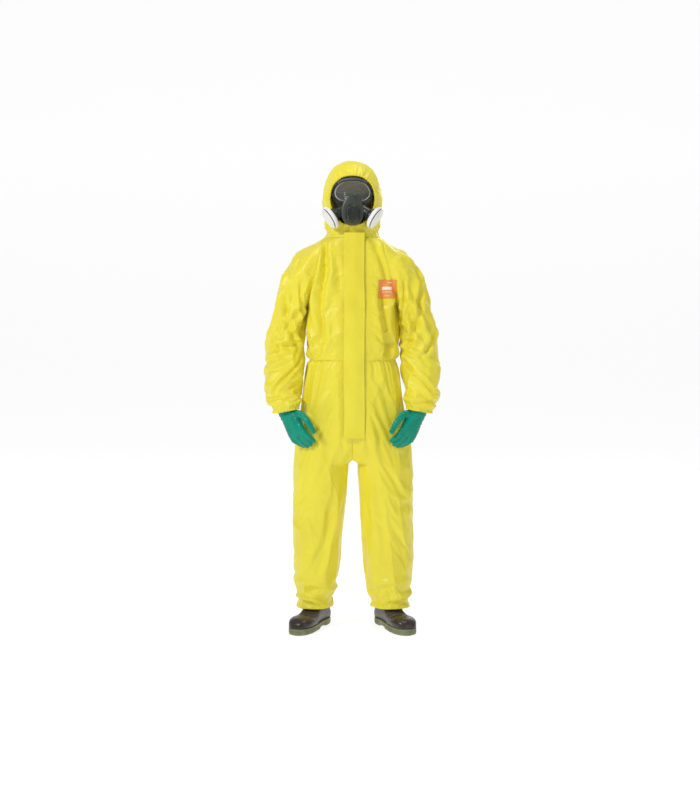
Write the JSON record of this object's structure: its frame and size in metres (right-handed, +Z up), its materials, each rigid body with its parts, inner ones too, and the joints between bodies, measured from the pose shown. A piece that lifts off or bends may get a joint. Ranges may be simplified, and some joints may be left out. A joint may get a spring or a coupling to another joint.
{
  "type": "chemical protective suit",
  "caption": "Hooded chemical protective coverall with full-face twin-filter respirator, gloves and boots, standing as worn, hollow and empty.",
  "frame": {"origin": "on the floor, under the centre of the suit's box", "axes": "+Z up, the suit faces -Y, the wearer's left is +X"},
  "size_m": [0.668, 0.3098, 1.8],
  "materials": {
    "suit_fabric": "smooth, slightly shiny laminated non-woven",
    "gathered_edge": "gathered over elastic",
    "woven_tape": "woven tape",
    "label": "printed square, satin",
    "zip_plastic": "satin",
    "mask_rubber": "matte moulded rubber",
    "black_plastic": "satin moulded",
    "grey_rubber": "satin silicone",
    "visor": "clear polycarbonate",
    "filter_white": "matte white",
    "glove_rubber": "satin nitrile",
    "boot_rubber": "glossy moulded",
    "sole_rubber": "matte ridged"
  },
  "bodies": {
    "suit": {"back_panel": "suit_fabric", "front_panel_left": "suit_fabric", "front_panel_right": "suit_fabric", "collar": "gathered_edge", "waist_elastic": "gathered_edge", "trouser_left": "suit_fabric", "trouser_right": "suit_fabric", "zip_tape_left": "woven_tape", "zip_tape_right": "woven_tape", "zip_teeth_left": "zip_plastic", "zip_teeth_right": "zip_plastic", "zip_top_stop": "zip_plastic", "zip_bottom_stop": "zip_plastic", "inner_flap": "suit_fabric", "chest_label": "label"},
    "flap": {"storm_flap": "suit_fabric", "flap_tape": "woven_tape"},
    "slider": {"zip_slider": "zip_plastic", "zip_puller": "zip_plastic"},
    "head": {"hood_left": "suit_fabric", "hood_right": "suit_fabric", "hood_centre": "suit_fabric", "face_elastic": "gathered_edge", "face_seal": "mask_rubber", "lens": "visor", "lens_frame": "black_plastic", "nose_cup": "grey_rubber", "front_cover": "black_plastic", "exhalation_valve": "grey_rubber", "inhalation_port_left": "black_plastic", "inhalation_port_right": "black_plastic", "upper_strap": "mask_rubber", "lower_strap": "mask_rubber"},
    "filter_left": {"filter_body_left": "filter_white", "filter_pad_left": "filter_white"},
    "arm_left": {"upper_sleeve_left": "suit_fabric"},
    "forearm_left": {"lower_sleeve_left": "suit_fabric", "cuff_elastic_left": "gathered_edge"},
    "hand_left": {"glove_left": "glove_rubber"},
    "shin_left": {"lower_leg_left": "suit_fabric", "ankle_hem_left": "gathered_edge", "boot_upper_left": "boot_rubber", "toe_guard_left": "boot_rubber", "outsole_left": "sole_rubber"},
    "filter_right": {"filter_body_right": "filter_white", "filter_pad_right": "filter_white"},
    "arm_right": {"upper_sleeve_right": "suit_fabric"},
    "forearm_right": {"lower_sleeve_right": "suit_fabric", "cuff_elastic_right": "gathered_edge"},
    "hand_right": {"glove_right": "glove_rubber"},
    "shin_right": {"lower_leg_right": "suit_fabric", "ankle_hem_right": "gathered_edge", "boot_upper_right": "boot_rubber", "toe_guard_right": "boot_rubber", "outsole_right": "sole_rubber"}
  },
  "joints": [
    {"name": "neck_turn", "type": "hinge", "parent": "suit", "child": "head", "pos_m": [0, 0.01603, 1.521], "axis": [0, 0, 1], "range_deg": [-15, 15]},
    {"name": "flap_open", "type": "hinge", "parent": "suit", "child": "flap", "pos_m": [0.046, -0.09347, 1.521], "axis": [0, 0.0305, 0.9995], "range_deg": [0, 120]},
    {"name": "zip_travel", "type": "slide", "parent": "suit", "child": "slider", "axis": [0, -0.0305, -0.9995], "range_m": [0, 0.7]},
    {"name": "filter_twist_left", "type": "hinge", "parent": "head", "child": "filter_left", "pos_m": [0.083, -0.10197, 1.569], "axis": [0.8094, -0.2198, -0.5446], "range_deg": [0, 45]},
    {"name": "shoulder_left", "type": "hinge", "parent": "suit", "child": "arm_left", "pos_m": [0.172, 0.03103, 1.4], "axis": [-1, 0, 0], "range_deg": [0, 35]},
    {"name": "elbow_left", "type": "hinge", "parent": "arm_left", "child": "forearm_left", "pos_m": [0.262, 0.04103, 1.075], "axis": [-1, 0, 0], "range_deg": [0, 60]},
    {"name": "glove_off_left", "type": "slide", "parent": "forearm_left", "child": "hand_left", "axis": [-0.22, -0.33, -0.918], "range_m": [0, 0.1]},
    {"name": "knee_left", "type": "hinge", "parent": "suit", "child": "shin_left", "pos_m": [0.1315, 0.01803, 0.49], "axis": [1, 0, 0], "range_deg": [0, 50]},
    {"name": "filter_twist_right", "type": "hinge", "parent": "head", "child": "filter_right", "pos_m": [-0.083, -0.10197, 1.569], "axis": [-0.8094, -0.2198, -0.5446], "range_deg": [0, 45]},
    {"name": "shoulder_right", "type": "hinge", "parent": "suit", "child": "arm_right", "pos_m": [-0.172, 0.03103, 1.4], "axis": [-1, 0, 0], "range_deg": [0, 35]},
    {"name": "elbow_right", "type": "hinge", "parent": "arm_right", "child": "forearm_right", "pos_m": [-0.262, 0.04103, 1.075], "axis": [-1, 0, 0], "range_deg": [0, 60]},
    {"name": "glove_off_right", "type": "slide", "parent": "forearm_right", "child": "hand_right", "axis": [0.22, -0.33, -0.918], "range_m": [0, 0.1]},
    {"name": "knee_right", "type": "hinge", "parent": "suit", "child": "shin_right", "pos_m": [-0.1315, 0.01803, 0.49], "axis": [1, 0, 0], "range_deg": [0, 50]}
  ]
}
